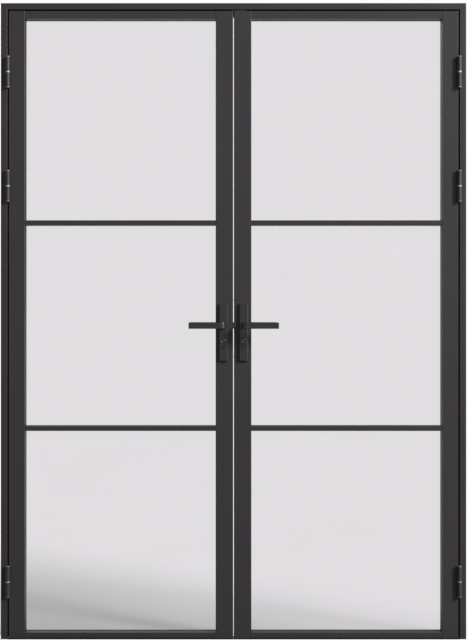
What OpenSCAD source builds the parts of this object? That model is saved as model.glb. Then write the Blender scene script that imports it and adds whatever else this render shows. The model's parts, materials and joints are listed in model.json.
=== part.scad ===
// Double doors in a slim steel frame, with clear panes stacked in each leaf.
// X runs to the right, the front faces -Y and Z is up, in millimetres. The origin
// is on the floor at mid-width, in the mid-plane of the closed leaves. The leaves
// open towards the front. Pieces are drawn for the left side and mirrored.

/* [Doorset] */
// Overall width of the frame
doorset_w = 1500; // [1300:10:1900]
// Overall height of the frame
doorset_h = 2050; // [2000:10:2400]
// Gap between a leaf and the frame, at the side and at the head
frame_gap = 4.5; // [4:0.5:6]
// Gap between the two closed leaves
centre_gap = 3; // [3:0.5:5]
// Gap under the leaves
floor_gap = 4; // [3:1:12]

/* [Frame] */
// Face width of the jambs and the head
frame_face = 21; // [18:1:40]
// Depth of the frame from front to rear
frame_depth = 70; // [60:5:110]
// Wall of the frame tubes
frame_wall = 2; // [1.5:0.5:3]
// How far the door stop stands out of the frame
stop_projection = 12; // [10:1:16]
// Depth of the sealing space between a leaf and its stop
seal_space = 5; // [4:0.5:8]
// Width of the sealing strip
seal_w = 9; // [6:1:10]
// Diameter of the wall fixing holes in the jambs
fixing_hole_d = 7; // [5:0.5:9]
// Distance of the outer fixing holes from the floor and from the top of the frame
fixing_end = 200; // [100:10:300]
// Fixing holes in each jamb
fixing_count = 4; // [2:1:6]

/* [Leaf] */
// Depth of a leaf from front to rear
leaf_depth = 40; // [38:1:50]
// Wall of the leaf tubes
tube_wall = 2; // [1.5:0.5:2.5]
// Face width of the stile on the hinge side
hinge_stile_w = 52; // [40:1:70]
// Face width of the stile on the lock side
lock_stile_w = 56; // [56:1:75]
// Face height of the top rail
top_rail_h = 25; // [20:1:60]
// Face height of the bottom rail
bottom_rail_h = 18; // [18:1:120]
// Height of the middle of the upper glazing bar
upper_bar_z = 1342; // [1200:1:1500]
// Height of the middle of the lower glazing bar
lower_bar_z = 679; // [500:1:800]
// Rounding of the tube edges
edge_r = 1.5; // [0.5:0.5:1.5]

/* [Glazing] */
// Thickness of a pane
glass_t = 6; // [4:1:10]
// Thickness of the gasket on each side of a pane
gasket_t = 2; // [1.5:0.5:3]
// How far a gasket stays back from the sight line
gasket_set = 0.5; // [0.2:0.1:1]
// Free space round the edge of a pane
glass_clear = 2; // [1:0.5:3]
// Width of the fixed lip in front of a pane and of the bead behind it
lip_w = 6.5; // [5.5:0.5:9]
// Thickness of the web of a glazing bar
web_t = 3; // [2:0.5:6]
// Rounding of the bead along the sight line
bead_r = 3; // [1:0.5:4]

/* [Hinges] */
// Overall length of a hinge barrel with its caps
hinge_len = 102; // [80:1:140]
// Outer diameter of the barrel
barrel_d = 14; // [12:0.5:20]
// Diameter of the hinge pin
hinge_pin_d = 8; // [6:0.5:9]
// Clearance between the barrel and the front of the door
barrel_stand = 0.5; // [0.3:0.1:2]
// Thickness of the hinge flaps in the gap beside the leaf
flap_t = 3; // [2:0.5:3]
// How deep the flaps reach behind the front of the leaf
flap_depth = 30; // [20:1:36]
// Height of the bright cap at each end of a barrel
cap_h = 3; // [2:0.5:6]
// Height of the bright washer between the two knuckles
washer_h = 4; // [3:0.5:8]
// Height of the bottom hinges
low_hinge_z = 187; // [150:1:300]
// Distance of the middle hinges below the top of the frame
mid_hinge_drop = 590; // [450:1:1100]
// Distance of the top hinges below the top of the frame
high_hinge_drop = 223; // [150:1:300]

/* [Handles] */
// Height of the lever axis above the floor
lever_z = 1011; // [950:1:1100]
// Distance from the lock edge of a leaf to the lever axis
backset = 31; // [30:0.5:35]
// Width of a backplate
plate_w = 28; // [26:1:36]
// How far a backplate reaches above the lever axis
plate_up = 70; // [66:1:90]
// How far a backplate reaches below the lever axis
plate_down = 115; // [112:1:150]
// Thickness of a backplate
plate_t = 9; // [8:0.5:12]
// Chamfer round the front of a backplate
plate_chamfer = 2; // [0.5:0.1:2]
// Length of a lever arm from its axis to its tip
lever_len = 111; // [100:1:140]
// How far the front of a lever stands out from the leaf
lever_reach = 60; // [50:1:75]
// Thickness of the lever bar
lever_t = 12; // [10:0.5:14]
// Height of the lever bar
lever_h = 20; // [16:0.5:24]
// Rounding of the long edges of the lever bar
lever_r = 2; // [1:0.5:4]
// Radius inside the bend of the lever
bend_r = 2; // [1:0.5:6]
// Diameter of the round collar at the foot of a lever
collar_d = 18; // [18:0.5:20]
// How far the collar stands out from the backplate
collar_out = 4; // [2:0.5:8]
// Side of the square spindle
spindle_w = 8; // [7:0.5:9]
// How far the spindle reaches into a lever, from the face of the backplate
spindle_in = 20; // [15:1:25]
// Diameter of the bolts that clamp the backplates
plate_bolt_d = 5; // [4:0.5:5]
// Diameter of the heads of those bolts
plate_bolt_head_d = 9; // [8:0.5:10]
// Thickness of the heads of those bolts
plate_bolt_head_h = 3; // [2:0.5:4]
// How far the bolts reach into the front backplate
plate_bolt_in = 6; // [4:0.5:7]
// Height of the upper bolt above the lever axis
bolt_up = 56; // [50:1:60]
// Depth of the lower bolt below the lever axis
bolt_down = 100; // [94:1:106]

/* [Lock] */
// Depth of the key cylinder axis below the lever axis
cylinder_drop = 49; // [45:1:55]
// Diameter of the round part of the key cylinder
cylinder_d = 17; // [16:0.5:18]
// Width of the straight foot of the key cylinder
cylinder_foot_w = 10; // [9:0.5:11]
// Overall height of the key cylinder
cylinder_h = 33; // [30:0.5:35]
// How far the key cylinder stands out from the backplate
cylinder_out = 2; // [1:0.5:4]
// Diameter of the turning plug
plug_d = 11; // [10:0.5:12]
// Width of the key slot
key_slot_w = 2; // [1.5:0.5:3]
// Height of the key slot
key_slot_h = 8; // [6:0.5:8]
// Depth of the key slot
key_slot_depth = 25; // [15:1:28]
// Thickness of the lock case and the gear case
case_t = 16; // [15:0.5:18]
// Wall of the lock case and the gear case
case_wall = 1.5; // [1:0.5:1.5]
// How deep the lock case reaches behind the faceplate
lock_case_depth = 43; // [42:0.5:44]
// Depth of the gear case
gear_case_depth = 28; // [27:0.5:30]
// Room for the bolts in front of the gear case
strike_room = 14; // [13:0.5:15]
// How far the cases reach above the lever axis
case_up = 66; // [64:1:80]
// How far the cases reach below the lever axis
case_down = 85; // [82:1:90]
// Width of the faceplate and of the strike plate
faceplate_w = 20; // [18:0.5:24]
// Height of the faceplate and of the strike plate above the lever axis
faceplate_up = 90; // [75:1:110]
// Depth of the faceplate and of the strike plate below the lever axis
faceplate_down = 110; // [95:1:130]
// Thickness of the latch bolt
latch_t = 12; // [10:0.5:12]
// Height of the latch bolt
latch_h = 20; // [16:0.5:24]
// How far the latch bolt stands out of the lock edge
latch_throw = 12; // [10:0.5:12]
// How deep the latch bolt reaches behind the lock edge
latch_in = 9; // [8:0.5:9]
// Width left blunt at the tip of the latch bolt
latch_tip = 2; // [1:0.5:4]
// Thickness of the deadbolt
deadbolt_t = 10; // [8:0.5:12]
// Height of the deadbolt
deadbolt_h = 24; // [18:0.5:28]
// How deep the withdrawn deadbolt reaches behind the lock edge
deadbolt_in = 20; // [18:0.5:21]
// Diameter of the bolt that shoots into the head
shoot_d = 10; // [8:0.5:12]
// How far that bolt reaches into the head
shoot_in = 12; // [8:0.5:14]
// Distance from the lock edge to the axis of that bolt
shoot_set = 22.5; // [22:0.5:23]
// Height of the foot of that bolt above the lever axis
shoot_foot = 30; // [28:1:40]
// Size of the keep plate under the head
keep_w = 34; // [28:1:40]
// Thickness of the keep plate under the head
keep_t = 2; // [1:0.5:3]

/* [Fits] */
// Radial clearance of turning and sliding fits
run_clear = 0.05; // [0.02:0.01:0.1]
// Clearance of loose holes and pockets
free_clear = 0.3; // [0.2:0.05:0.5]
// Open joint where two loose strips meet
strip_joint = 0.2; // [0.1:0.1:0.5]

/* [Hidden] */
$fn = 64;

x_out = -doorset_w / 2;
x_jamb = x_out + frame_face;
x_hinge_edge = x_jamb + frame_gap;
x_lock_edge = -centre_gap / 2;
y_front = -leaf_depth / 2;
y_rear = leaf_depth / 2;
y_back = y_front + frame_depth;
y_stop = y_rear + seal_space;
z_head = doorset_h - frame_face;
z_foot = floor_gap;
z_top = z_head - frame_gap;

// The glazing rebate of the left leaf, between the tubes
x_bay_0 = x_hinge_edge + hinge_stile_w - lip_w;
x_bay_1 = x_lock_edge - lock_stile_w + lip_w;
lip_d = leaf_depth / 2 - glass_t / 2 - gasket_t;
bar_h = web_t + 2 * lip_w;
bays = [
  [upper_bar_z + web_t / 2, z_top - top_rail_h + lip_w],
  [lower_bar_z + web_t / 2, upper_bar_z - web_t / 2],
  [z_foot + bottom_rail_h - lip_w, lower_bar_z - web_t / 2]
];

hinge_x = (x_jamb + x_hinge_edge) / 2;
hinge_y = y_front - barrel_stand - barrel_d / 2;
hinge_heights = [low_hinge_z, doorset_h - mid_hinge_drop, doorset_h - high_hinge_drop];
fixing_pitch = (doorset_h - 2 * fixing_end) / (fixing_count - 1);
fixing_heights = [for (i = [0 : fixing_count - 1]) fixing_end + i * fixing_pitch];
fixing_y = (y_stop + y_back) / 2;

lever_x = x_lock_edge - backset;
y_plate = y_front - plate_t;
cylinder_z = lever_z - cylinder_drop;
cylinder_y = plate_t + leaf_depth / 2 + cylinder_out;
bolt_heights = [lever_z + bolt_up, lever_z - bolt_down];
x_wall = x_lock_edge - tube_wall;
shoot_x = x_lock_edge - shoot_set;
z_shoot_tip = z_head + shoot_in;
faceplate_z = lever_z + (faceplate_up - faceplate_down) / 2;
faceplate_h = faceplate_up + faceplate_down;

coat = [0.22, 0.21, 0.22];
bright = [0.78, 0.78, 0.79];
steel = [0.6, 0.6, 0.61];
rubber = [0.06, 0.06, 0.06];
clear_glass = [0.85, 0.88, 0.88, 0.35];

// Mirrors its children to the right side
module right_side() {
  mirror([1, 0, 0]) children();
}

// Mirrors its children to the rear face of the leaf
module rear_side() {
  mirror([0, 1, 0]) children();
}

// Rectangle from its lower left corner, with rounded corners
module rounded_rect(size, r) {
  translate([r, 0]) square([size[0] - 2 * r, size[1]]);
  translate([0, r]) square([size[0], size[1] - 2 * r]);
  for (x = [r, size[0] - r], y = [r, size[1] - r]) translate([x, y]) circle(r);
}

// Section of the frame: a tube with a hollow stop, outer face at x = 0
module frame_section() {
  stop_w = frame_face + stop_projection;
  stop_d = y_back - y_stop;
  difference() {
    union() {
      translate([0, y_front]) rounded_rect([frame_face, frame_depth], edge_r);
      translate([frame_face / 2, y_stop]) rounded_rect([stop_w - frame_face / 2, stop_d], edge_r);
    }
    translate([frame_wall, y_front + frame_wall])
      square([frame_face - 2 * frame_wall, frame_depth - 2 * frame_wall]);
    translate([frame_wall, y_stop + frame_wall])
      square([stop_w - 2 * frame_wall, stop_d - 2 * frame_wall]);
  }
}

// Prism through the depth of the frame, from an outline in X and Z
module frame_prism(outline) {
  translate([0, y_back + 1, 0])
    rotate([90, 0, 0])
      linear_extrude(frame_depth + 2)
        polygon(outline);
}

// Section of a leaf tube with its glazing lip, outer face at x = 0
module leaf_section(face) {
  tube = face - lip_w;
  difference() {
    union() {
      translate([0, y_front]) rounded_rect([tube, leaf_depth], edge_r);
      translate([tube / 2, y_front]) rounded_rect([face - tube / 2, lip_d], edge_r);
    }
    translate([tube_wall, y_front + tube_wall])
      square([tube - 2 * tube_wall, leaf_depth - 2 * tube_wall]);
  }
}

// Upright tube of a leaf, welded shut at the top, outer face at x = 0
module stile_tube(face) {
  translate([0, 0, z_foot]) linear_extrude(z_top - z_foot) leaf_section(face);
  translate([tube_wall / 2, y_front + tube_wall / 2, z_top - tube_wall])
    cube([face - lip_w - tube_wall, leaf_depth - tube_wall, tube_wall]);
}

// Cuts the front of a rail back to the lips of the two stiles
module rail_copes() {
  for (x = [x_bay_0 - 1, x_bay_1 - lip_w])
    translate([x, y_front - 1, 0])
      cube([lip_w + 1, lip_d + 1, doorset_h]);
}

// Flanged bar across the leaf: a flat front and a thin web behind it
module glazing_bar(z) {
  translate([x_bay_0 + lip_w, y_front, z - bar_h / 2])
    rotate([90, 0, 90])
      linear_extrude(x_bay_1 - x_bay_0 - 2 * lip_w)
        rounded_rect([lip_d, bar_h], edge_r);
  translate([x_bay_0, y_front + lip_d, z - web_t / 2])
    cube([x_bay_1 - x_bay_0, leaf_depth - lip_d, web_t]);
}

module pane(bay) {
  translate([x_bay_0 + glass_clear, -glass_t / 2, bay[0] + glass_clear])
    cube([
      x_bay_1 - x_bay_0 - 2 * glass_clear,
      glass_t,
      bay[1] - bay[0] - 2 * glass_clear
    ]);
}

// Section of a bead: x runs to the sight line and y from the gasket to the rear
module bead_section() {
  depth = leaf_depth - lip_d - glass_t - 2 * gasket_t;
  square([lip_w - bead_r, depth]);
  square([lip_w, depth - bead_r]);
  translate([lip_w - bead_r, depth - bead_r]) circle(bead_r);
}

// Four beads round one bay: uprights full height, the others between them
module bead_set(bay) {
  y_bead = glass_t / 2 + gasket_t;
  between = x_bay_1 - x_bay_0 - 2 * lip_w - 2 * strip_joint;
  translate([x_bay_0, y_bead, bay[0]]) linear_extrude(bay[1] - bay[0]) bead_section();
  translate([x_bay_1, y_bead, bay[0]])
    linear_extrude(bay[1] - bay[0])
      mirror([1, 0, 0])
        bead_section();
  translate([x_bay_0 + lip_w + strip_joint, y_bead, bay[1]])
    rotate([0, 90, 0])
      linear_extrude(between)
        bead_section();
  translate([x_bay_1 - lip_w - strip_joint, y_bead, bay[0]])
    rotate([0, -90, 0])
      linear_extrude(between)
        bead_section();
}

// Four gasket strips on one side of one pane, y being the lower face
module gasket_set_at(bay, y) {
  strip = lip_w - glass_clear - gasket_set;
  low = [x_bay_0 + glass_clear, y, bay[0] + glass_clear];
  wide = x_bay_1 - x_bay_0 - 2 * glass_clear;
  tall = bay[1] - bay[0] - 2 * glass_clear;
  for (x = [0, wide - strip]) translate(low + [x, 0, 0]) cube([strip, gasket_t, tall]);
  for (z = [0, tall - strip])
    translate(low + [strip, 0, z])
      cube([wide - 2 * strip, gasket_t, strip]);
}

// One knuckle with its flap, from z upwards; x is the low side of the flap
module hinge_half(x, z) {
  tall = (hinge_len - 2 * cap_h - washer_h) / 2 - free_clear;
  difference() {
    union() {
      translate([hinge_x, hinge_y, z]) cylinder(d = barrel_d, h = tall);
      translate([x, hinge_y, z]) cube([flap_t, y_front + flap_depth - hinge_y, tall]);
    }
    translate([hinge_x, hinge_y, z - 1]) cylinder(d = hinge_pin_d + 2 * run_clear, h = tall + 2);
  }
}

module hinge_pin(z) {
  low = z - hinge_len / 2;
  translate([hinge_x, hinge_y, low])
    rotate_extrude()
      polygon([
        [0, 0],
        [barrel_d / 2 - 1, 0],
        [barrel_d / 2, 1],
        [barrel_d / 2, cap_h],
        [hinge_pin_d / 2, cap_h],
        [hinge_pin_d / 2, hinge_len - cap_h],
        [barrel_d / 2, hinge_len - cap_h],
        [barrel_d / 2, hinge_len - 1],
        [barrel_d / 2 - 1, hinge_len],
        [0, hinge_len]
      ]);
}

module hinge_washer(z) {
  translate([hinge_x, hinge_y, z - washer_h / 2 - free_clear])
    difference() {
      cylinder(d = barrel_d, h = washer_h + free_clear);
      translate([0, 0, -1]) cylinder(d = hinge_pin_d + 2 * run_clear, h = washer_h + 3);
    }
}

// Hole through the leaf along Y, from the front of a backplate to the rear
module cross_hole(d, x, z) {
  translate([x, -lever_reach, z])
    rotate([-90, 0, 0])
      cylinder(d = d, h = 2 * lever_reach);
}

// Outline of the key cylinder about its axis, grown by a clearance
module cylinder_outline(grow) {
  foot = cylinder_h - cylinder_d / 2;
  circle(d = cylinder_d + 2 * grow);
  translate([-cylinder_foot_w / 2 - grow, cylinder_foot_w / 2 - foot])
    square([cylinder_foot_w + 2 * grow, foot - cylinder_foot_w / 2]);
  translate([0, cylinder_foot_w / 2 - foot]) circle(d = cylinder_foot_w + 2 * grow);
}

// Prism of the key cylinder through the leaf
module cylinder_prism(grow, half) {
  translate([lever_x, half, cylinder_z])
    rotate([90, 0, 0])
      linear_extrude(2 * half)
        cylinder_outline(grow);
}

// Upright plate let into the wall of the lock edge
module edge_plate(grow) {
  translate([x_wall - grow / 2, -faceplate_w / 2 - grow, faceplate_z - faceplate_h / 2 - grow])
    cube([tube_wall + grow, faceplate_w + 2 * grow, faceplate_h + 2 * grow]);
}

// Slot through the lock edge for a bolt of the given size
module bolt_slot(t, h, z) {
  translate([x_wall - 1, -t / 2 - free_clear, z - h / 2 - free_clear])
    cube([tube_wall + 2, t + 2 * free_clear, h + 2 * free_clear]);
}

// Lock stile with the cut-outs of the handle set
module lock_stile() {
  difference() {
    translate([x_lock_edge, 0, 0]) mirror([1, 0, 0]) stile_tube(lock_stile_w);
    edge_plate(free_clear);
    cross_hole(spindle_w * sqrt(2) + 2, lever_x, lever_z);
    for (z = bolt_heights) cross_hole(plate_bolt_d + 2 * free_clear, lever_x, z);
    cylinder_prism(free_clear, leaf_depth);
  }
}

// Box in the stile that is open towards the lock edge, from x to the right
module lock_box(x, depth) {
  difference() {
    translate([x, -case_t / 2, lever_z - case_down]) cube([depth, case_t, case_up + case_down]);
    translate([x + case_wall, case_wall - case_t / 2, lever_z - case_down + case_wall])
      cube([depth, case_t - 2 * case_wall, case_up + case_down - 2 * case_wall]);
    cross_hole(collar_d + 2 * run_clear, lever_x, lever_z);
    cross_hole(plate_bolt_d + 2 * free_clear, lever_x, bolt_heights[0]);
    cylinder_prism(free_clear, leaf_depth);
  }
}

// Chamfered plate on the front of the leaf
module backplate_blank() {
  tall = plate_up + plate_down;
  c = plate_chamfer;
  intersection() {
    translate([lever_x - plate_w / 2, y_plate, lever_z - plate_down])
      linear_extrude(tall)
        polygon([[c, 0], [plate_w - c, 0], [plate_w, c], [plate_w, plate_t], [0, plate_t], [0, c]]);
    translate([lever_x - plate_w / 2, y_plate, lever_z - plate_down])
      rotate([90, 0, 90])
        linear_extrude(plate_w)
          polygon([[0, c], [c, 0], [plate_t, 0], [plate_t, tall], [c, tall], [0, tall - c]]);
  }
}

// Backplate with its holes; the front one has blind holes for the bolts
module backplate() {
  difference() {
    backplate_blank();
    cross_hole(collar_d + 2 * run_clear, lever_x, lever_z);
    cylinder_prism(free_clear, lever_reach);
    children();
  }
}

module front_backplate() {
  backplate()
    for (z = bolt_heights)
      translate([lever_x, y_front - plate_bolt_in, z])
        rotate([-90, 0, 0])
          cylinder(d = plate_bolt_d + 2 * free_clear, h = plate_t);
}

module rear_backplate() {
  rear_side()
    backplate()
      for (z = bolt_heights)
        translate([lever_x, y_plate - 1, z])
          rotate([-90, 0, 0]) {
            cylinder(d = plate_bolt_d + 2 * free_clear, h = plate_t + 2);
            cylinder(d = plate_bolt_head_d + 2 * free_clear, h = plate_bolt_head_h + 1);
          }
}

module backplate_bolts() {
  y_head = y_rear + plate_t - plate_bolt_head_h;
  for (z = bolt_heights)
    translate([lever_x, y_front - plate_bolt_in, z])
      rotate([-90, 0, 0]) {
        cylinder(d = plate_bolt_d, h = y_head - y_front + plate_bolt_in + 1);
        translate([0, 0, y_head - y_front + plate_bolt_in])
          cylinder(d = plate_bolt_head_d, h = plate_bolt_head_h);
      }
}

module key_cylinder() {
  difference() {
    cylinder_prism(0, cylinder_y);
    cross_hole(plug_d + 2 * run_clear, lever_x, cylinder_z);
  }
}

module key_plug() {
  difference() {
    translate([lever_x, -cylinder_y, cylinder_z])
      rotate([-90, 0, 0])
        cylinder(d = plug_d, h = 2 * cylinder_y);
    for (s = [-1, 1])
      translate([lever_x, s * cylinder_y, cylinder_z])
        cube([key_slot_w, 2 * key_slot_depth, key_slot_h], center = true);
  }
}

// Section of the lever bar, centred on its height, x from 0 to its thickness
module lever_section() {
  translate([0, -lever_h / 2]) rounded_rect([lever_t, lever_h], lever_r);
}

// Lever bent from one bar, its collar turning in the backplate
module lever() {
  y_tip = y_front - lever_reach;
  y_bend = y_tip + lever_t + bend_r;
  x_bend = lever_x - lever_t / 2 - bend_r;
  y_neck = y_plate - collar_out;
  difference() {
    union() {
      translate([lever_x, y_neck, lever_z])
        rotate([-90, 0, 0])
          cylinder(d = collar_d, h = y_front - free_clear - y_neck);
      translate([lever_x - lever_t / 2, y_neck + 1, lever_z])
        rotate([90, 0, 0])
          linear_extrude(y_neck + 1 - y_bend)
            lever_section();
      translate([x_bend, y_bend, lever_z])
        rotate([0, 0, -90])
          rotate_extrude(angle = 90)
            translate([bend_r, 0])
              lever_section();
      translate([lever_x - lever_len, y_tip, lever_z])
        rotate([90, 0, 90])
          linear_extrude(x_bend - lever_x + lever_len)
            lever_section();
    }
    translate([lever_x - spindle_w / 2, y_plate - spindle_in, lever_z - spindle_w / 2])
      cube([spindle_w, spindle_in + plate_t, spindle_w]);
  }
}

module square_spindle() {
  half = leaf_depth / 2 + plate_t + spindle_in;
  translate([lever_x, 0, lever_z]) cube([spindle_w, 2 * half, spindle_w], center = true);
}

module lock_follower() {
  difference() {
    translate([lever_x, -case_t / 2, lever_z])
      rotate([-90, 0, 0])
        cylinder(d = collar_d, h = case_t);
    translate([lever_x, 0, lever_z]) cube([spindle_w, 2 * case_t, spindle_w], center = true);
  }
}

// Latch with a slope on the side that meets the other leaf first
module latch() {
  x_tip = x_lock_edge + latch_throw;
  half = latch_t / 2;
  translate([0, 0, lever_z - latch_h / 2])
    linear_extrude(latch_h)
      polygon([
        [x_lock_edge - latch_in, -half],
        [x_tip, -half],
        [x_tip, latch_tip - half],
        [x_lock_edge + centre_gap / 2, half],
        [x_lock_edge - latch_in, half]
      ]);
}

module deadbolt() {
  translate([x_lock_edge - deadbolt_in, -deadbolt_t / 2, cylinder_z - deadbolt_h / 2])
    cube([deadbolt_in, deadbolt_t, deadbolt_h]);
}

module shoot_bolt() {
  foot = lever_z + shoot_foot;
  tip = 2;
  translate([shoot_x, 0, foot]) cylinder(d = shoot_d, h = z_shoot_tip - tip - foot);
  translate([shoot_x, 0, z_shoot_tip - tip]) cylinder(d1 = shoot_d, d2 = shoot_d - tip, h = tip);
}

module jamb() {
  corner = frame_face + stop_projection + 1;
  difference() {
    intersection() {
      translate([x_out, 0, 0]) linear_extrude(doorset_h) frame_section();
      frame_prism([
        [x_out, 0],
        [x_out + corner, 0],
        [x_out + corner, doorset_h - corner],
        [x_out, doorset_h]
      ]);
    }
    for (z = fixing_heights)
      translate([x_out - 1, fixing_y, z])
        rotate([0, 90, 0])
          cylinder(d = fixing_hole_d, h = frame_face + stop_projection + 2);
  }
}

module left_jamb() {
  color(coat) jamb();
}

module right_jamb() {
  color(coat) right_side() jamb();
}

module head() {
  corner = frame_face + stop_projection + 1;
  color(coat)
    difference() {
      intersection() {
        translate([x_out, 0, doorset_h])
          rotate([0, 90, 0])
            linear_extrude(doorset_w)
              frame_section();
        frame_prism([
          [x_out, doorset_h],
          [x_out + corner, doorset_h - corner],
          [-x_out - corner, doorset_h - corner],
          [-x_out, doorset_h]
        ]);
      }
      translate([-shoot_x, 0, z_head - 1]) cylinder(d = shoot_d + 4 * free_clear, h = frame_wall + 2);
    }
}

// Strips on the stop, standing just clear of the closed leaves
module frame_seals() {
  thick = seal_space - free_clear;
  x_seal = x_jamb + stop_projection - seal_w;
  z_seal = z_head - stop_projection;
  color(rubber) {
    for (x = [x_seal, -x_seal - seal_w])
      translate([x, y_stop - thick, z_foot])
        cube([seal_w, thick, z_seal - strip_joint - z_foot]);
    translate([x_seal, y_stop - thick, z_seal]) cube([-2 * x_seal, thick, seal_w]);
  }
}

module head_keep() {
  color(steel)
    difference() {
      translate([-shoot_x, 0, z_head - keep_t / 2])
        cube([keep_w, faceplate_w, keep_t], center = true);
      translate([-shoot_x, 0, z_head - keep_t - 1])
        cylinder(d = shoot_d + 4 * free_clear, h = keep_t + 2);
    }
}

module hinge_jamb_flaps() {
  color(coat)
    for (z = hinge_heights) {
      hinge_half(x_jamb, z - hinge_len / 2 + cap_h);
      right_side() hinge_half(x_jamb, z - hinge_len / 2 + cap_h);
    }
}

module hinge_pins() {
  color(bright)
    for (z = hinge_heights) {
      hinge_pin(z);
      right_side() hinge_pin(z);
    }
}

module hinge_washers() {
  color(bright)
    for (z = hinge_heights) {
      hinge_washer(z);
      right_side() hinge_washer(z);
    }
}

module left_hinge_stile() {
  color(coat) translate([x_hinge_edge, 0, 0]) stile_tube(hinge_stile_w);
}

module left_lock_stile() {
  color(coat) lock_stile();
}

module left_top_rail() {
  color(coat)
    difference() {
      translate([x_bay_0, 0, z_top])
        rotate([0, 90, 0])
          linear_extrude(x_bay_1 - x_bay_0)
            leaf_section(top_rail_h);
      rail_copes();
    }
}

module left_bottom_rail() {
  color(coat)
    difference() {
      translate([x_bay_1, 0, z_foot])
        rotate([0, -90, 0])
          linear_extrude(x_bay_1 - x_bay_0)
            leaf_section(bottom_rail_h);
      rail_copes();
    }
}

module left_upper_bar() {
  color(coat) glazing_bar(upper_bar_z);
}

module left_lower_bar() {
  color(coat) glazing_bar(lower_bar_z);
}

module left_upper_pane() {
  color(clear_glass) pane(bays[0]);
}

module left_middle_pane() {
  color(clear_glass) pane(bays[1]);
}

module left_lower_pane() {
  color(clear_glass) pane(bays[2]);
}

module left_beads() {
  color(coat)
    for (bay = bays) bead_set(bay);
}

module left_gaskets() {
  color(rubber)
    for (bay = bays, y = [-glass_t / 2 - gasket_t, glass_t / 2]) gasket_set_at(bay, y);
}

module left_hinge_flaps() {
  color(coat)
    for (z = hinge_heights) hinge_half(x_hinge_edge - flap_t, z + washer_h / 2);
}

module left_lock_case() {
  color(steel) lock_box(x_wall - lock_case_depth, lock_case_depth);
}

module left_faceplate() {
  color(steel)
    difference() {
      edge_plate(0);
      bolt_slot(latch_t, latch_h, lever_z);
      bolt_slot(deadbolt_t, deadbolt_h, cylinder_z);
    }
}

module left_front_plate() {
  color(coat) front_backplate();
}

module left_rear_plate() {
  color(coat) rear_backplate();
}

module left_plate_bolts() {
  color(steel) backplate_bolts();
}

module left_cylinder() {
  color(coat) key_cylinder();
}

module left_plug() {
  color(steel) key_plug();
}

module left_front_lever() {
  color(coat) lever();
}

module left_rear_lever() {
  color(coat) rear_side() lever();
}

module left_spindle() {
  color(steel) square_spindle();
}

module left_follower() {
  color(steel) lock_follower();
}

module left_latch() {
  color(steel) latch();
}

module left_deadbolt() {
  color(steel) deadbolt();
}

module right_hinge_stile() {
  right_side() left_hinge_stile();
}

module right_lock_stile() {
  color(coat)
    difference() {
      right_side() lock_stile();
      translate([-shoot_x, 0, z_top - tube_wall - 1])
        cylinder(d = shoot_d + 2 * run_clear, h = tube_wall + 2);
    }
}

module right_top_rail() {
  right_side() left_top_rail();
}

module right_bottom_rail() {
  right_side() left_bottom_rail();
}

module right_upper_bar() {
  right_side() left_upper_bar();
}

module right_lower_bar() {
  right_side() left_lower_bar();
}

module right_upper_pane() {
  right_side() left_upper_pane();
}

module right_middle_pane() {
  right_side() left_middle_pane();
}

module right_lower_pane() {
  right_side() left_lower_pane();
}

module right_beads() {
  right_side() left_beads();
}

module right_gaskets() {
  right_side() left_gaskets();
}

module right_hinge_flaps() {
  right_side() left_hinge_flaps();
}

// Box that turns the lever's swing into the stroke of the shoot bolt
module right_gear_case() {
  color(steel)
    right_side()
      difference() {
        lock_box(x_wall - strike_room - gear_case_depth, gear_case_depth);
        translate([shoot_x, 0, lever_z + case_up - case_wall - 1])
          cylinder(d = shoot_d + 2 * run_clear, h = case_wall + 2);
      }
}

module right_strike_plate() {
  right_side() left_faceplate();
}

module right_front_plate() {
  right_side() left_front_plate();
}

module right_rear_plate() {
  right_side() left_rear_plate();
}

module right_plate_bolts() {
  right_side() left_plate_bolts();
}

module right_cylinder() {
  right_side() left_cylinder();
}

module right_plug() {
  right_side() left_plug();
}

module right_front_lever() {
  right_side() left_front_lever();
}

module right_rear_lever() {
  right_side() left_rear_lever();
}

module right_spindle() {
  right_side() left_spindle();
}

module right_follower() {
  right_side() left_follower();
}

module right_shoot_bolt() {
  color(steel) right_side() shoot_bolt();
}

left_jamb();
right_jamb();
head();
frame_seals();
head_keep();
hinge_jamb_flaps();
hinge_pins();
hinge_washers();
left_hinge_stile();
left_lock_stile();
left_top_rail();
left_bottom_rail();
left_upper_bar();
left_lower_bar();
left_upper_pane();
left_middle_pane();
left_lower_pane();
left_beads();
left_gaskets();
left_hinge_flaps();
left_lock_case();
left_faceplate();
left_front_plate();
left_rear_plate();
left_plate_bolts();
left_cylinder();
left_plug();
left_front_lever();
left_rear_lever();
left_spindle();
left_follower();
left_latch();
left_deadbolt();
right_hinge_stile();
right_lock_stile();
right_top_rail();
right_bottom_rail();
right_upper_bar();
right_lower_bar();
right_upper_pane();
right_middle_pane();
right_lower_pane();
right_beads();
right_gaskets();
right_hinge_flaps();
right_gear_case();
right_strike_plate();
right_front_plate();
right_rear_plate();
right_plate_bolts();
right_cylinder();
right_plug();
right_front_lever();
right_rear_lever();
right_spindle();
right_follower();
right_shoot_bolt();
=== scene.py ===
# %% [markdown]
# A pair of glazed steel doors in a slim frame. The solids come from the CAD part,
# already in metres and in place. This lesson gives them their finishes, adds the small
# fasteners and seals, and sets up the studio and the camera.

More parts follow.
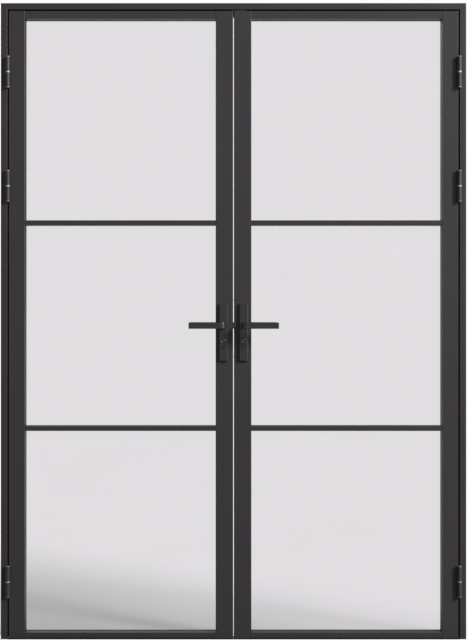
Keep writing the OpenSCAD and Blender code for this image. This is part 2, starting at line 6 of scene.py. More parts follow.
# %% Load the frame
import bpy
import json
import math
import numpy as np
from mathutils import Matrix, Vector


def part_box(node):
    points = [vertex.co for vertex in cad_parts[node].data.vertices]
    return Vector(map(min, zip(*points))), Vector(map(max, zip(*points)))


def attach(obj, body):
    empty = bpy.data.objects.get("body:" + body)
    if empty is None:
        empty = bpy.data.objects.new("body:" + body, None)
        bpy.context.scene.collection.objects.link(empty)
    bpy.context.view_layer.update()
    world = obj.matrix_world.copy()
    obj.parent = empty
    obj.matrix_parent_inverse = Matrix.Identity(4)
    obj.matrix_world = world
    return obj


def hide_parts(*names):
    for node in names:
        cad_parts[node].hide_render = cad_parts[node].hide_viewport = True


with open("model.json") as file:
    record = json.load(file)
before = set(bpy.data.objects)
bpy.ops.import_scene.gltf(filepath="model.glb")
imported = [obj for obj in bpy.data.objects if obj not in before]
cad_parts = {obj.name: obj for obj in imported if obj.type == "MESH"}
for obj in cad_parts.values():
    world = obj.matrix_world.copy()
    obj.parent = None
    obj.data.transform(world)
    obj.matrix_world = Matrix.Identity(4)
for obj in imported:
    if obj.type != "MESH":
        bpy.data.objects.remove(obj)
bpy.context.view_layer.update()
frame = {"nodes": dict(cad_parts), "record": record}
nodes = frame["nodes"]
sides = ("left", "right")

# %% [markdown]
# Every finish below is a small sum of noise patterns. Writing the sums as Python
# expressions keeps them short, so one class wraps a shader socket: adding two wires adds
# a Math node, and one method adds any other node.

# %% A wire of the shader tree
class Wire:
    """An output socket of a shader tree that can be used in sums and products."""

    def __init__(self, tree, socket=None):
        self.tree = tree
        self.socket = socket

    def feed(self, node, key, value):
        """Link a wire to an input of a node, or set a plain value on it."""
        if isinstance(value, Wire):
            self.tree.links.new(value.socket, node.inputs[key])
        else:
            node.inputs[key].default_value = value

    def add(self, kind, settings=(), values=(), out=0):
        """Add a node of any kind: its settings first, then values or wires by socket."""
        node = self.tree.nodes.new(kind)
        for name, value in dict(settings).items():
            setattr(node, name, value)
        for key, value in dict(values).items():
            self.feed(node, key, value)
        return Wire(self.tree, node.outputs[out])

    def math(self, operation, a, b):
        """Add a Math node that works on two wires or numbers."""
        return self.add("ShaderNodeMath", {"operation": operation}, {0: a, 1: b})

    def __add__(self, other):
        return self.math("ADD", self, other)

    def __mul__(self, other):
        return self.math("MULTIPLY", self, other)

    def __sub__(self, other):
        return self.math("SUBTRACT", self, other)

    def __rsub__(self, other):
        return self.math("SUBTRACT", other, self)

    __radd__ = __add__
    __rmul__ = __mul__


print("wires can be joined by + - and *")

# %% [markdown]
# Coat, steel, glass and rubber all need the same few things: a noise pattern that stays
# on the piece when it moves, a blend of two colours, and a bump. The noise reads the
# piece's own coordinates in metres, so its scale is a number of cells per metre.

# %% Patterns that the finishes share
MIX_SHARE, MIX_LOW, MIX_HIGH, MIX_RESULT = 0, 6, 7, 2  # the colour sockets of a Mix node


def finish_tree(name):
    """A new material: its first wire, its object coordinates and its shader node."""
    material = bpy.data.materials.new(name)
    material.use_nodes = True
    tree = material.node_tree
    wire = Wire(tree)
    place = wire.add("ShaderNodeTexCoord", out="Object")
    return material, wire, place, tree.nodes["Principled BSDF"]


def noise(wire, place, scale, detail, stretch=(1, 1, 1)):
    """Noise of scale cells per metre, from 0 to 1, squeezed by stretch along each axis."""
    moved = wire.add("ShaderNodeMapping", {}, {"Vector": place, "Scale": stretch})
    inputs = {"Vector": moved, "Scale": scale, "Detail": detail}
    return wire.add("ShaderNodeTexNoise", {}, inputs)


def blend_colours(wire, share, low, high):
    """Mix two colours by a wire that runs from 0 to 1."""
    inputs = {MIX_SHARE: share, MIX_LOW: low + (1,), MIX_HIGH: high + (1,)}
    return wire.add("ShaderNodeMix", {"data_type": "RGBA"}, inputs, out=MIX_RESULT)


def raise_bump(wire, shader, height, strength, depth):
    """Tilt the shader's normal by a height wire, whose full range is a depth in metres."""
    inputs = {"Strength": strength, "Distance": depth, "Height": height}
    wire.feed(shader, "Normal", wire.add("ShaderNodeBump", {}, inputs))


print("colour sockets of a Mix node:", MIX_SHARE, MIX_LOW, MIX_HIGH, MIX_RESULT)

# %% [markdown]
# Powder coat is sprayed dry and melted on, so it sets as a fine orange peel with a dull
# sheen. A noise of about a millimetre drives the bump, and a slow noise over half a metre
# shifts the tone a little, as the real coat varies with its thickness. The handles have a
# darker and glossier coat than the doors, and the hinges a duller one.

# %% Powder coat
CLOUD_SCALE, PEEL_SCALE, GRAIN_SCALE = 2.2, 900.0, 2600.0
PEEL_DEPTH = 0.0003
COATS = {  # dark tone, light tone, roughness, strength of the peel, sheen
    "frame_coat": ((0.036, 0.032, 0.036), (0.045, 0.040, 0.045), 0.40, 0.20, 0.5),
    "leaf_coat": ((0.039, 0.035, 0.039), (0.049, 0.044, 0.049), 0.38, 0.20, 0.5),
    "handle_coat": ((0.024, 0.021, 0.024), (0.031, 0.028, 0.031), 0.28, 0.10, 1.0),
    "hinge_coat": ((0.036, 0.033, 0.036), (0.044, 0.040, 0.044), 0.48, 0.10, 0.5),
}


def powder_coat(name, dark, light, rough, peel, sheen):
    """Tone = dark to light by 3/4 slow noise and 1/4 grain; roughness = rough plus or
    minus 0.06 by slow and fine noise; bump = fine noise of 1.1 mm cells."""
    material, wire, place, shader = finish_tree(name)
    slow = noise(wire, place, CLOUD_SCALE, detail=3.0)
    fine = noise(wire, place, PEEL_SCALE, detail=2.0)
    grain = noise(wire, place, GRAIN_SCALE, detail=1.0)
    share = 0.75 * slow + 0.25 * grain
    wire.feed(shader, "Base Color", blend_colours(wire, share, dark, light))
    wire.feed(shader, "Roughness", rough - 0.06 + 0.12 * (0.5 * slow + 0.5 * fine))
    wire.feed(shader, "Specular IOR Level", sheen)
    raise_bump(wire, shader, fine, peel, PEEL_DEPTH)
    return material


finishes = {name: powder_coat(name, *values) for name, values in COATS.items()}
print("coats:", list(COATS))

# %% [markdown]
# The hinge caps and washers are turned from stainless steel, so their marks run round the
# barrel. The lock's own steel is ground along its length. Both are a noise that is
# squeezed across the marks and stretched along them.

# %% Bright steel and lock steel
MARK_SCALE, STAIN_SCALE = 60.0, 25.0
MARK_STRENGTH, MARK_DEPTH = 0.2, 0.0001
ROUND_BARREL, UP_EDGE, ALONG_DEPTH = (2, 2, 90), (60, 60, 3), (60, 3, 60)
STEELS = {  # low tone, high tone, roughness, direction of the marks
    "bright_steel": ((0.42, 0.42, 0.43), (0.54, 0.54, 0.54), 0.62, ROUND_BARREL),
    "lock_steel": ((0.36, 0.36, 0.37), (0.50, 0.50, 0.50), 0.36, UP_EDGE),
    "dark_nickel": ((0.08, 0.08, 0.08), (0.13, 0.13, 0.13), 0.34, ALONG_DEPTH),
    "cap_steel": ((0.24, 0.24, 0.25), (0.34, 0.34, 0.34), 0.58, ROUND_BARREL),
    "ring_steel": ((0.17, 0.17, 0.17), (0.24, 0.24, 0.24), 0.40, ALONG_DEPTH),
}


def marked_steel(name, low, high, rough, stretch):
    """Tone and bump follow a noise stretched into lines along the marks; roughness =
    rough - 0.08 + 0.12 lines + 0.05 of a slower noise."""
    material, wire, place, shader = finish_tree(name)
    lines = noise(wire, place, MARK_SCALE, detail=4.0, stretch=stretch)
    stain = noise(wire, place, STAIN_SCALE, detail=2.0)
    wire.feed(shader, "Base Color", blend_colours(wire, lines, low, high))
    wire.feed(shader, "Roughness", rough - 0.08 + 0.12 * lines + 0.05 * stain)
    wire.feed(shader, "Metallic", 1.0)
    raise_bump(wire, shader, lines, MARK_STRENGTH, MARK_DEPTH)
    return material


finishes.update({name: marked_steel(name, *values) for name, values in STEELS.items()})
print("steels:", list(STEELS))

# %% [markdown]
# Clear float glass lets most of what is behind it through, a little grey, and mirrors a
# few parts in a hundred. The panes are flat, so alpha does this without bending light, and
# the studio still lights the floor through them. A higher index makes up for the mirror
# that alpha takes away. Faint wipe marks change the gloss.

# %% Glass
WIPE_SCALE, WIPE_STRETCH = 3.0, (1, 1, 2.5)
PANE_TINT, PANE_TINT_WIPED = (0.065, 0.045, 0.065), (0.07475, 0.05175, 0.07475)
PANE_ALPHA, PANE_INDEX = 0.145, 2.2


def clear_glass(name):
    """A dark tint laid over what is behind it. Tint, gloss and alpha vary with wipe marks:
    roughness = 0.02 + 0.05 wipes, alpha = the pane's own plus or minus 0.01."""
    material, wire, place, shader = finish_tree(name)
    wipes = noise(wire, place, WIPE_SCALE, detail=5.0, stretch=WIPE_STRETCH)
    tint = blend_colours(wire, wipes, PANE_TINT, PANE_TINT_WIPED)
    wire.feed(shader, "Base Color", tint)
    wire.feed(shader, "Roughness", 0.02 + 0.05 * wipes)
    wire.feed(shader, "IOR", PANE_INDEX)
    wire.feed(shader, "Alpha", PANE_ALPHA - 0.01 + 0.02 * wipes)
    return material


finishes["clear_glass"] = clear_glass("pane_glass")
print("glass:", finishes["clear_glass"].name)

# %% [markdown]
# The gaskets and seals are extruded rubber. Rubber is nearly black, hardly shines, and
# carries a faint grey bloom, so one noise of a few millimetres drives its tone, its
# roughness and a slight bump.

# %% Rubber
BLOOM_SCALE, BLOOM_STRENGTH, BLOOM_DEPTH = 160.0, 0.2, 0.0002
RUBBER_DARK, RUBBER_BLOOM, RUBBER_SHEEN = (0.008, 0.008, 0.008), (0.022, 0.022, 0.021), 0.15


def seal_rubber(name):
    """Tone and bump follow the bloom; roughness = 0.6 + 0.2 bloom."""
    material, wire, place, shader = finish_tree(name)
    bloom = noise(wire, place, BLOOM_SCALE, detail=4.0)
    wire.feed(shader, "Base Color", blend_colours(wire, bloom, RUBBER_DARK, RUBBER_BLOOM))
    wire.feed(shader, "Roughness", 0.6 + 0.2 * bloom)
    wire.feed(shader, "Specular IOR Level", RUBBER_SHEEN)
    raise_bump(wire, shader, bloom, BLOOM_STRENGTH, BLOOM_DEPTH)
    return material


finishes["seal_rubber"] = seal_rubber("seal_rubber")
print("rubber:", finishes["seal_rubber"].name)

# %% [markdown]
# Each solid of the part already names the slot that its finish comes from, so the finish
# is looked up there. The pins are the exception: their caps look duller than the washers,
# so they get a darker steel.

# %% Dress the solids
for entry in frame["record"]["subparts"]:
    mesh = nodes[entry["node"]].data
    mesh.materials.clear()
    mesh.materials.append(finishes[entry["material_slot"]])
nodes["hinge_pins"].data.materials[0] = finishes["cap_steel"]

# %% [markdown]
# Every new piece is an array of corners and a list of faces. It is shaded smooth, with
# sharp edges kept where two faces meet at a clear angle, and it rides on the body that
# carries it, so that it moves with that leaf or stays with the frame.

# %% A piece on its body
SHARP_ANGLE = math.radians(35)


def add_piece(name, corners, faces, body, slot):
    """Make a mesh, give it the finish of its slot and let it ride on a body."""
    mesh = bpy.data.meshes.new(name)
    mesh.from_pydata(corners.tolist(), [], faces)
    mesh.polygons.foreach_set("use_smooth", np.ones(len(faces), dtype=bool))
    mesh.set_sharp_from_angle(angle=SHARP_ANGLE)
    mesh.materials.append(finishes[slot])
    piece = bpy.data.objects.new(name, mesh)
    bpy.context.scene.collection.objects.link(piece)
    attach(piece, body)
    print(name, "faces:", len(faces), "on", body)
    return piece


# %% [markdown]
# Screws and bolts are turned on a lathe and their sockets are pressed in with a six-sided
# punch. So each one is a profile spun round its axis, except that the rows of the socket
# follow a hexagon. The screws of each set are made in one go, as one array.

# %% Turned fasteners
SPOKES = 36
SIXTH = np.pi / 3


def spun_faces(row_count, seat_count, stride):
    """Quads between neighbouring rows and a fan at each pole, repeated for every seat.
    The stride is the number of corners at one seat."""
    j = np.arange(SPOKES)
    k = (j + 1) % SPOKES
    step = np.arange(row_count - 1)[:, None] * SPOKES
    quads = np.stack([step + j, step + SPOKES + j, step + SPOKES + k, step + k], axis=-1)
    first_pole = np.full(SPOKES, row_count * SPOKES)
    end = (row_count - 1) * SPOKES
    fans = (
        np.stack([first_pole, j, k], axis=1),
        np.stack([end + j, first_pole + 1, end + k], axis=1),
    )
    shift = np.arange(seat_count)[:, None, None] * stride
    return [
        face
        for part in (quads.reshape(-1, 4), *fans)
        for face in (part + shift).reshape(-1, part.shape[1]).tolist()
    ]


def turned(name, rows, seats, axes, body, slot):
    """Rows (radius, height, six-sided or not) spun about the axis w at each seat.

    P(s, t) = seat + r(s, t) (u cos t + v sin t) + h(s) w, where r is r(s) on a round row
    and r(s) / cos((t + 30) mod 60 - 30) in degrees on a six-sided one. The first and the
    last row are poles.
    """
    rows, seats, w = (np.asarray(a, float) for a in (rows, seats, axes))
    t = np.linspace(0, 2 * np.pi, SPOKES, endpoint=False)
    six = 1 / np.cos((t + SIXTH / 2) % SIXTH - SIXTH / 2)
    r = rows[1:-1, :1] * (1 + rows[1:-1, 2:] * (six - 1))
    upright = np.abs(w[:, 2:]) > 0.9
    u = np.cross(np.where(upright, [1.0, 0.0, 0.0], [0.0, 0.0, 1.0]), w)
    v = np.cross(w, u)
    spoke = u[:, None, None] * np.cos(t)[:, None] + v[:, None, None] * np.sin(t)[:, None]
    rise = rows[:, 1, None] * w[:, None]
    rings = seats[:, None, None] + r[..., None] * spoke + rise[:, 1:-1, None]
    poles = seats[:, None] + rise[:, [0, -1]]
    corners = np.concatenate([rings.reshape(len(seats), -1, 3), poles], axis=1)
    faces = spun_faces(len(r), len(seats), corners.shape[1])
    return add_piece(name, corners.reshape(-1, 3), faces, body, slot)


print("spokes round each fastener:", SPOKES)

# %% [markdown]
# Three screws hold each hinge flap, two hold the keep under the head, and two hold the
# faceplate or the strike plate on the edge of each leaf. The flaps of the jamb hang below
# the middle of a hinge and those of the leaf stand above it.

# %% Screws of the hinges, the keep and the lock edges
HINGE_HEIGHTS = np.array([0.187, 1.460, 1.827])
LEVER_HEIGHT = 1.011
FLAP_SPOTS = np.array([(-0.011, -0.014), (0.001, 0.0), (-0.011, 0.014)])  # depth, height
FLAP_MIDDLE = 0.025  # from the middle of the hinge
JAMB_FLAP_FACE = 0.024  # from the outer edge of the jamb
LEAF_FLAP_FACE = -0.003  # from the edge of the hinge stile
KEEP_SCREW_STEPS = (-0.012, 0.012)  # from the middle of the keep
EDGE_SCREW_STEPS = (0.081, -0.101)  # from the height of the levers


def screw_rows(head_r, head_h, socket):
    """A low head with a rounded rim, its six-sided socket almost as deep as the head."""
    a = np.linspace(0, np.pi / 2, 5)
    rim, bottom, sunk = 0.35 * head_h, 0.15 * head_h, -0.0005
    inside = [(0, bottom, 0), (socket, bottom, 1), (socket, head_h, 1)]
    edge = [head_r - rim + rim * np.sin(a), head_h - rim + rim * np.cos(a), 0 * a]
    back = [(head_r, sunk, 0), (0, sunk, 0)]
    return np.concatenate([inside, np.stack(edge, axis=1), back])


def mirrored(points, side):
    """Points of the left side, or their mirror image on the right."""
    return np.asarray(points, float) * [(-1 if side == "right" else 1), 1, 1]


def flap_seats(x, middle):
    """Three seats on each flap: hinge height plus the middle of the flap plus the spots."""
    z = (HINGE_HEIGHTS[:, None] + middle + FLAP_SPOTS[:, 1]).ravel()
    y = np.tile(FLAP_SPOTS[:, 0], len(HINGE_HEIGHTS))
    return np.stack([np.full(len(z), x), y, z], axis=1)


low_screw = screw_rows(head_r=0.0034, head_h=0.0006, socket=0.0013)
jamb_seats = flap_seats(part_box("left_jamb")[0][0] + JAMB_FLAP_FACE, -FLAP_MIDDLE)
both_seats = np.concatenate([mirrored(jamb_seats, side) for side in sides])
both_axes = np.repeat([[1.0, 0, 0], [-1.0, 0, 0]], len(jamb_seats), axis=0)
turned("jamb_flap_screws", low_screw, both_seats, both_axes, "frame", "lock_steel")

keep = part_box("head_keep")
keep_middle = (keep[0][0] + keep[1][0]) / 2
keep_seats = [(keep_middle + step, 0, keep[0][2]) for step in KEEP_SCREW_STEPS]
turned("keep_screws", low_screw, keep_seats, [(0, 0, -1)] * 2, "frame", "lock_steel")

leaf_seats = flap_seats(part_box("left_hinge_stile")[0][0] + LEAF_FLAP_FACE, FLAP_MIDDLE)
edge_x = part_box("left_faceplate")[1][0]
edge_seats = [(edge_x, 0, LEVER_HEIGHT + step) for step in EDGE_SCREW_STEPS]
for side in sides:
    for name, seats, outward in (("flap", leaf_seats, -1), ("edge", edge_seats, 1)):
        axes = mirrored([(outward, 0, 0)] * len(seats), side)
        turned(f"{side}_{name}_screws", low_screw, mirrored(seats, side), axes,
               f"{side}_leaf", "lock_steel")

# %% [markdown]
# The two bolts of each handle go in from the rear and pull the backplates together. Their
# heads lie flush in the rear plate, so here the socket can be deep. They stand for the plain
# bolts of the CAD part.

# %% Handle bolts
SHANK_R, HEAD_DEPTH, HEAD_CHAMFER = 0.0025, 0.003, 0.0005
SOCKET_R, SOCKET_DEPTH = 0.002, 0.0022
SOCKET_MOUTH_R, SOCKET_MOUTH_DEPTH = 0.0023, 0.0002


def bolt_rows(head_r, length):
    """From the bottom of the socket over the flush head and down the shank to its end."""
    return [
        (0, -SOCKET_DEPTH, 0),
        (SOCKET_R, -SOCKET_DEPTH, 1),
        (SOCKET_R, -SOCKET_MOUTH_DEPTH, 1),
        (SOCKET_MOUTH_R, 0, 0),
        (head_r - HEAD_CHAMFER, 0, 0),
        (head_r, -HEAD_CHAMFER, 0),
        (head_r, -HEAD_DEPTH, 0),
        (SHANK_R, -HEAD_DEPTH, 0),
        (SHANK_R, -length, 0),
        (0, -length, 0),
    ]


for side in sides:
    low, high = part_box(f"{side}_plate_bolts")
    x = (low[0] + high[0]) / 2
    head_r = (high[0] - low[0]) / 2
    heads = [(x, high[1], low[2] + head_r), (x, high[1], high[2] - head_r)]
    bolts = turned(f"{side}_handle_bolts", bolt_rows(head_r, high[1] - low[1]), heads,
                   [(0, 1, 0)] * 2, f"{side}_leaf", "lock_steel")
    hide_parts(f"{side}_plate_bolts")

# %% [markdown]
# A thin turned ring trims the face of each key cylinder. Its middle is sunk, so the plug
# with the keyway shows through it. It looks darker than the lock's own steel, so it has a
# finish of its own.

# %% Cylinder rings
RING_R, RING_HALF, RING_RISE = 0.0070, 0.0011, 0.0006
RING_SUNK, RING_BACK = -0.0004, -0.0005
a = np.linspace(0, np.pi, 9)
crown = np.stack([RING_R - RING_HALF * np.cos(a), RING_RISE * np.sin(a), 0 * a], axis=1)
ring_rows = np.concatenate([
    [(0, RING_SUNK, 0), (RING_R - RING_HALF, RING_SUNK, 0)],
    crown,
    [(RING_R + RING_HALF, RING_BACK, 0), (0, RING_BACK, 0)],
])
for side in sides:
    low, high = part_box(f"{side}_cylinder")
    x, z = (low[0] + high[0]) / 2, high[2] - (high[0] - low[0]) / 2
    faces_of_cylinder = [(x, low[1], z), (x, high[1], z)]
    rings = turned(f"{side}_cylinder_rings", ring_rows, faces_of_cylinder,
                   [(0, -1, 0), (0, 1, 0)], f"{side}_leaf", "lock_steel")
    rings.data.materials[0] = finishes["ring_steel"]

# %% [markdown]
# The sealing strip on the stop is extruded rubber: a flat foot and a soft bulb that the
# closed leaf touches. Its outline is carried up one jamb, along the head and down the other
# jamb, cut on the mitre at the corners.

# %% Bulb seal
def carried(name, outline, path, across, body, slot):
    """Outline points (a, y) carried along a path, with a cap at each end.

    P(i, j) = path(i) + a(j) across(i) + y(j) Y.
    """
    outline, path, across = (np.asarray(a, float) for a in (outline, path, across))
    depth = outline[:, 1:] * [0.0, 1.0, 0.0]
    corners = path[:, None] + outline[:, :1] * across[:, None] + depth
    n = len(outline)
    j = np.arange(n)
    k = (j + 1) % n
    step = np.arange(len(path) - 1)[:, None] * n
    skin = np.stack([step + j, step + k, step + n + k, step + n + j], axis=-1)
    caps = [j[::-1].tolist(), (j + (len(path) - 1) * n).tolist()]
    faces = skin.reshape(-1, 4).tolist() + caps
    return add_piece(name, corners.reshape(-1, 3), faces, body, slot)


FOOT_WIDTH, FOOT_THICK, BULB_R = 0.009, 0.001, 0.0036
low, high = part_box("frame_seals")
foot_y = high[1] - FOOT_THICK
a = np.linspace(0, np.pi, 25)
bulb = [FOOT_WIDTH / 2 + BULB_R * np.cos(a), foot_y - (foot_y - low[1]) * np.sin(a)]
foot = [(0.0, foot_y), (0.0, high[1]), (FOOT_WIDTH, high[1]), (FOOT_WIDTH, foot_y)]
outline = np.concatenate([foot, np.stack(bulb, axis=1)])
loop = [(low[0], 0, low[2]), (low[0], 0, high[2]), (high[0], 0, high[2]), (high[0], 0, low[2])]
inward = [(1, 0, 0), (1, 0, -1), (-1, 0, -1), (-1, 0, 0)]
bulb_seal = carried("bulb_seal", outline, loop, inward, "frame", "seal_rubber")
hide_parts("frame_seals")

# %% [markdown]
# A thin pile seal on the lock edge of the left leaf narrows the joint between the leaves:
# a flat backing and a low brush, whose outline is carried up the edge.

# %% Pile seal
BACKING_THICK, BACKING_Y = 0.0003, (0.0115, 0.0175)
PILE_Y, PILE_HALF, PILE_RISE = 0.0145, 0.0012, 0.0004
PILE_END_GAP = 0.02
lock_low, lock_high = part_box("left_lock_stile")
b = np.linspace(-np.pi / 2, np.pi / 2, 9)
pile = [BACKING_THICK + PILE_RISE * np.cos(b), PILE_Y + PILE_HALF * np.sin(b)]
backing = [
    (BACKING_THICK, BACKING_Y[1]), (0.0, BACKING_Y[1]),
    (0.0, BACKING_Y[0]), (BACKING_THICK, BACKING_Y[0]),
]
outline = np.concatenate([np.stack(pile, axis=1), backing])
heights = (lock_low[2] + PILE_END_GAP, lock_high[2] - PILE_END_GAP)
rise = [(lock_high[0], 0, z) for z in heights]
carried("pile_seal", outline, rise, [(1, 0, 0)] * 2, "left_leaf", "seal_rubber")

# %% [markdown]
# A rubber sweep under each leaf closes the slot over the floor, and its lip hangs down in
# front. The sweep is a real seal, but its dark rubber in the slot and its lip in front also
# stand in for the contact shadow at the foot of the doors, so they are partly painted shade.
# A small block at the end of each sweep closes the foot of the joint: dark rubber put where
# the floor lies in shade, so painted shade. Both outlines are carried across the leaf from
# left to right, from just past the hinge stile to the middle of the joint.

# %% Sweeps and foot blocks
# The lip's reach in front and the foot blocks are dark rubber standing in for shade at the foot
# of the doors: painted shade.
SWEEP_BACK, SWEEP_FRONT, SWEEP_FOOT, SWEEP_CHAMFER = -0.0135, -0.0195, -0.0037, 0.0010
LIP_UPPER_SIDE = [(-0.0012, -0.0198), (-0.0019, -0.0210)]  # height, depth
LIP_HEIGHT, LIP_Y, LIP_R = -0.0028, -0.0236, 0.0009
SHADE_BLOCK_TOP, SHADE_BLOCK_CROWN = 0.0044, 0.0010
PAST_STILE, JOINT_HALF = 0.0035, 0.0001
t = np.linspace(0, np.pi, 9)
sweep = np.concatenate([
    [(0.0, SWEEP_BACK), (0.0, SWEEP_FRONT), *LIP_UPPER_SIDE],
    np.stack([LIP_HEIGHT + LIP_R * np.cos(t), LIP_Y - LIP_R * np.sin(t)], axis=1),
    [(SWEEP_FOOT, SWEEP_BACK - SWEEP_CHAMFER), (SWEEP_FOOT + SWEEP_CHAMFER, SWEEP_BACK)],
])
# A foot block is dark rubber put where the floor lies in shade: painted shade.
shade_block_y, shade_block_half = (SWEEP_BACK + SWEEP_FRONT) / 2, (SWEEP_BACK - SWEEP_FRONT) / 2
shade_block = np.concatenate([
    np.stack([SHADE_BLOCK_TOP + SHADE_BLOCK_CROWN * np.sin(t), shade_block_y + shade_block_half * np.cos(t)], axis=1),
    [(SWEEP_FOOT, SWEEP_FRONT), (SWEEP_FOOT, SWEEP_BACK)],
])
spans = {  # hinge end to joint, and lock edge to joint, each from left to right
    "left": ((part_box("left_hinge_stile")[0][0] - PAST_STILE, -JOINT_HALF),
             (lock_high[0], -JOINT_HALF)),
    "right": ((JOINT_HALF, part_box("right_hinge_stile")[1][0] + PAST_STILE),
              (JOINT_HALF, -lock_high[0])),
}
for side in sides:
    for name, outline, span in zip(("seal", "shade_block"), (sweep, shade_block), spans[side]):
        path = [(x, 0, lock_low[2]) for x in span]
        carried(f"{side}_foot_{name}", outline, path, [(0, 0, 1)] * 2,
                f"{side}_leaf", "seal_rubber")

# %% [markdown]
# The studio is one sheet of paper: a pale floor that curves up into a backdrop. One profile
# of floor, bend and upright, carried across, gives it without a seam.

# %% Floor and backdrop
FLOOR_FRONT, BACK_Y, BACK_TOP, HALF_WIDTH, BEND_R = -7.0, 9.0, 7.0, 9.0, 1.6


def swept_sheet(name, across, points):
    """Profile points (y, z) carried across x: vertex (i, j) is across[i], points[j]."""
    x, row = np.meshgrid(across, np.arange(len(points)), indexing="ij")
    corners = np.stack([x, points[row, 0], points[row, 1]], axis=-1).reshape(-1, 3)
    count = len(points)
    a = (np.arange(len(across) - 1)[:, None] * count + np.arange(count - 1)).ravel()
    quads = np.stack([a, a + count, a + count + 1, a + 1], axis=1)
    mesh = bpy.data.meshes.new(name)
    mesh.from_pydata(corners.tolist(), [], quads.tolist())
    mesh.polygons.foreach_set("use_smooth", np.ones(len(quads), dtype=bool))
    sheet = bpy.data.objects.new(name, mesh)
    bpy.context.scene.collection.objects.link(sheet)
    return sheet


turn = np.linspace(0, math.pi / 2, 25)
floor_y = np.linspace(FLOOR_FRONT, BACK_Y - BEND_R, 12)
profile = np.concatenate([
    np.stack([floor_y, 0 * floor_y], axis=1),
    np.stack([BACK_Y - BEND_R + BEND_R * np.sin(turn), BEND_R - BEND_R * np.cos(turn)], axis=1),
    [(BACK_Y, BACK_TOP)],
])
studio_sheet = swept_sheet("studio_sheet", np.linspace(-HALF_WIDTH, HALF_WIDTH, 7), profile)
print("studio sheet points:", len(studio_sheet.data.vertices))

# %% [markdown]
# Seen by the camera or through the glass the sheet is white, because it glows as bright
# as white paper. Only rays from the camera, from gloss and through glass meet this glow, so
# it is seen and mirrored but doesn't light the doors. Behind the doors on the left the glow
# fades in a painted shadow, laid over the real shadow that the lamps cast on the paper. In
# gloss the floor is white, the backdrop is grey, and one upright strip of it is white again:
# a painted reflection in the doors.

# %% White of the studio
PAPER_DULL, PAPER_PALE, GLOW_COLOUR = (0.15, 0.15, 0.15, 1), (0.5, 0.5, 0.5, 1), (1, 0.98, 1, 1)
# The shade is a painted shadow in the glow, and the strip and the grey are a painted reflection
# seen only in gloss.
SHADE_START, SHADE_PER_X, SHADE_PER_Y, SHADE_WIDTH, SHADE_DEPTH = 1.7, 1.17, 1.5, 2.2, 0.75
SHADE_Y, SHADE_X = (0.0, 0.05), (-2.6, -1.1)  # where the shade sets in
STRIP_X, STRIP_ASIDE, STRIP_Z = -2.2, (1.2, 2.4), (-0.5, 3.0)  # its middle and its fades
GLINT_Y, GREY_Z, GREY_DEPTH = (0.0, 0.5), (0.0, 2.0), 0.5


def ramp(wire, value, low, high):
    """A smooth step of a wire: 0 below low, 1 above high."""
    inputs = {"Value": value, "From Min": low, "From Max": high}
    return wire.add("ShaderNodeMapRange", {"interpolation_type": "SMOOTHSTEP"}, inputs)


def studio_white(name):
    """Paper under a white glow.

    Direct glow = 1 - 0.75 shade, where the shade is a painted shadow that grows with
    1.7 - 1.17 x - 1.5 y, starts at the doors and ends on the far left. Glow in gloss =
    1 - 0.5 height + strip, behind the doors only, is a painted reflection.
    """
    material = bpy.data.materials.new(name)
    material.use_nodes = True
    tree = material.node_tree
    tree.nodes.remove(tree.nodes["Principled BSDF"])
    wire = Wire(tree)
    place = wire.add("ShaderNodeTexCoord", out="Object")
    x, y, z = (wire.add("ShaderNodeSeparateXYZ", {}, {0: place}, out=axis) for axis in "XYZ")
    camera, gloss, through = (
        wire.add("ShaderNodeLightPath", out=f"Is {kind} Ray")
        for kind in ("Camera", "Glossy", "Transmission")
    )
    # Painted shadow: the glow fades behind the doors on the left.
    inside = SHADE_START - SHADE_PER_X * x - SHADE_PER_Y * y
    behind, not_far_left = ramp(wire, y, *SHADE_Y), ramp(wire, x, *SHADE_X)
    shade = ramp(wire, inside, 0.0, SHADE_WIDTH) * behind * not_far_left
    direct = (camera + through) * (1.0 - SHADE_DEPTH * shade)
    # Painted reflection: glow that only gloss sees, white on the floor, greyer up the backdrop
    # and white in the strip.
    aside = wire.math("ABSOLUTE", x - STRIP_X, 0.0)
    strip = ramp(wire, z, *STRIP_Z) * (1.0 - ramp(wire, aside, *STRIP_ASIDE))
    grey = GREY_DEPTH * ramp(wire, z, *GREY_Z)
    glint = gloss * ramp(wire, y, *GLINT_Y) * (1.0 - grey + strip)
    dull = wire.add("ShaderNodeBsdfDiffuse", {}, {"Color": PAPER_DULL})
    pale = wire.add("ShaderNodeBsdfDiffuse", {}, {"Color": PAPER_PALE})
    paper = wire.add("ShaderNodeMixShader", {}, {0: camera, 1: dull, 2: pale})
    glow = wire.add("ShaderNodeEmission", {}, {"Color": GLOW_COLOUR, "Strength": 1.0})
    mixed = wire.add("ShaderNodeMixShader", {}, {0: direct + glint, 1: paper, 2: glow})
    wire.feed(tree.nodes["Material Output"], "Surface", mixed)
    return material


studio_sheet.data.materials.append(studio_white("studio_white"))
print("finish of the sheet:", studio_sheet.data.materials[0].name)

# %% [markdown]
# Soft light comes from large lamps: the key above and to the right of the camera,
# a weaker one low on the same side, and one behind on the left for the rear.

# %% Lamps
LAMPS = {  # place, target, width and height in metres, power in watts
    "key_lamp": ((8.3, -5.65, 6.3), (0.0, 0.0, 1.1), 2.5, 2.5, 1350.0),
    "side_lamp": ((6.0, -1.8, 1.6), (0.0, 0.0, 1.1), 5.0, 3.5, 60.0),
    "rear_lamp": ((-5.0, 5.5, 4.6), (0.0, 0.0, 1.2), 2.5, 2.5, 450.0),
}


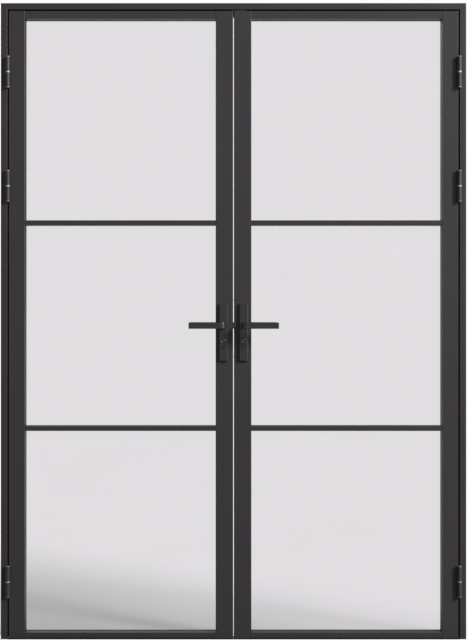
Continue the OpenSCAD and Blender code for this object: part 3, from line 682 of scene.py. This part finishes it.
def soft_lamp(name, place, target, wide, tall, power):
    """A lamp of wide by tall metres at a place, turned so that its beam meets the target."""
    data = bpy.data.lights.new(name, "AREA")
    data.shape = "RECTANGLE"
    data.size = wide
    data.size_y = tall
    data.energy = power
    lamp = bpy.data.objects.new(name, data)
    lamp.location = place
    aim = Vector(target) - Vector(place)
    lamp.rotation_euler = aim.to_track_quat("-Z", "Y").to_euler()
    bpy.context.scene.collection.objects.link(lamp)
    return lamp


print("lamps:", [soft_lamp(name, *values).name for name, values in LAMPS.items()])

# %% [markdown]
# The world is a grey sky that fills the shadows evenly. To the camera and through glass it
# is white, as the sheet is, so that no edge shows where the sheet ends.

# %% World
WHITE = (1, 1, 1, 1)
FILL_STRENGTH, SEEN_STRENGTH = 0.27, 1.0
world = bpy.data.worlds.new("studio_world")
world.use_nodes = True
bpy.context.scene.world = world
sky = Wire(world.node_tree)
fill = sky.add("ShaderNodeBackground", {}, {"Color": WHITE, "Strength": FILL_STRENGTH})
seen = sky.add("ShaderNodeBackground", {}, {"Color": WHITE, "Strength": SEEN_STRENGTH})
eye = sky.add("ShaderNodeLightPath", out="Is Camera Ray")
through = sky.add("ShaderNodeLightPath", out="Is Transmission Ray")
both_skies = sky.add("ShaderNodeMixShader", {}, {0: eye + through, 1: fill, 2: seen})
sky.feed(world.node_tree.nodes["World Output"], "Surface", both_skies)
print("world fill:", FILL_STRENGTH)

# %% [markdown]
# The photograph is taken square on, from four metres, just above the levers. A small
# shift of the lens, not a tilt, keeps the uprights of the doors parallel in the picture.

# %% Camera
camera_data = bpy.data.cameras.new("camera")
camera_data.sensor_fit = "VERTICAL"
camera_data.sensor_height = 36.0
camera_data.lens = 69.83
camera_data.shift_x = 0.0250
camera_data.shift_y = -0.01036
camera = bpy.data.objects.new("camera", camera_data)
camera.location = (-0.05, -4.02, 1.05)
camera.rotation_euler = (math.radians(90.0), 0.0, 0.0)
bpy.context.scene.collection.objects.link(camera)
bpy.context.scene.camera = camera
bpy.context.scene.view_settings.view_transform = "Standard"
print("camera at", tuple(camera.location), "with a lens of", camera_data.lens, "mm")
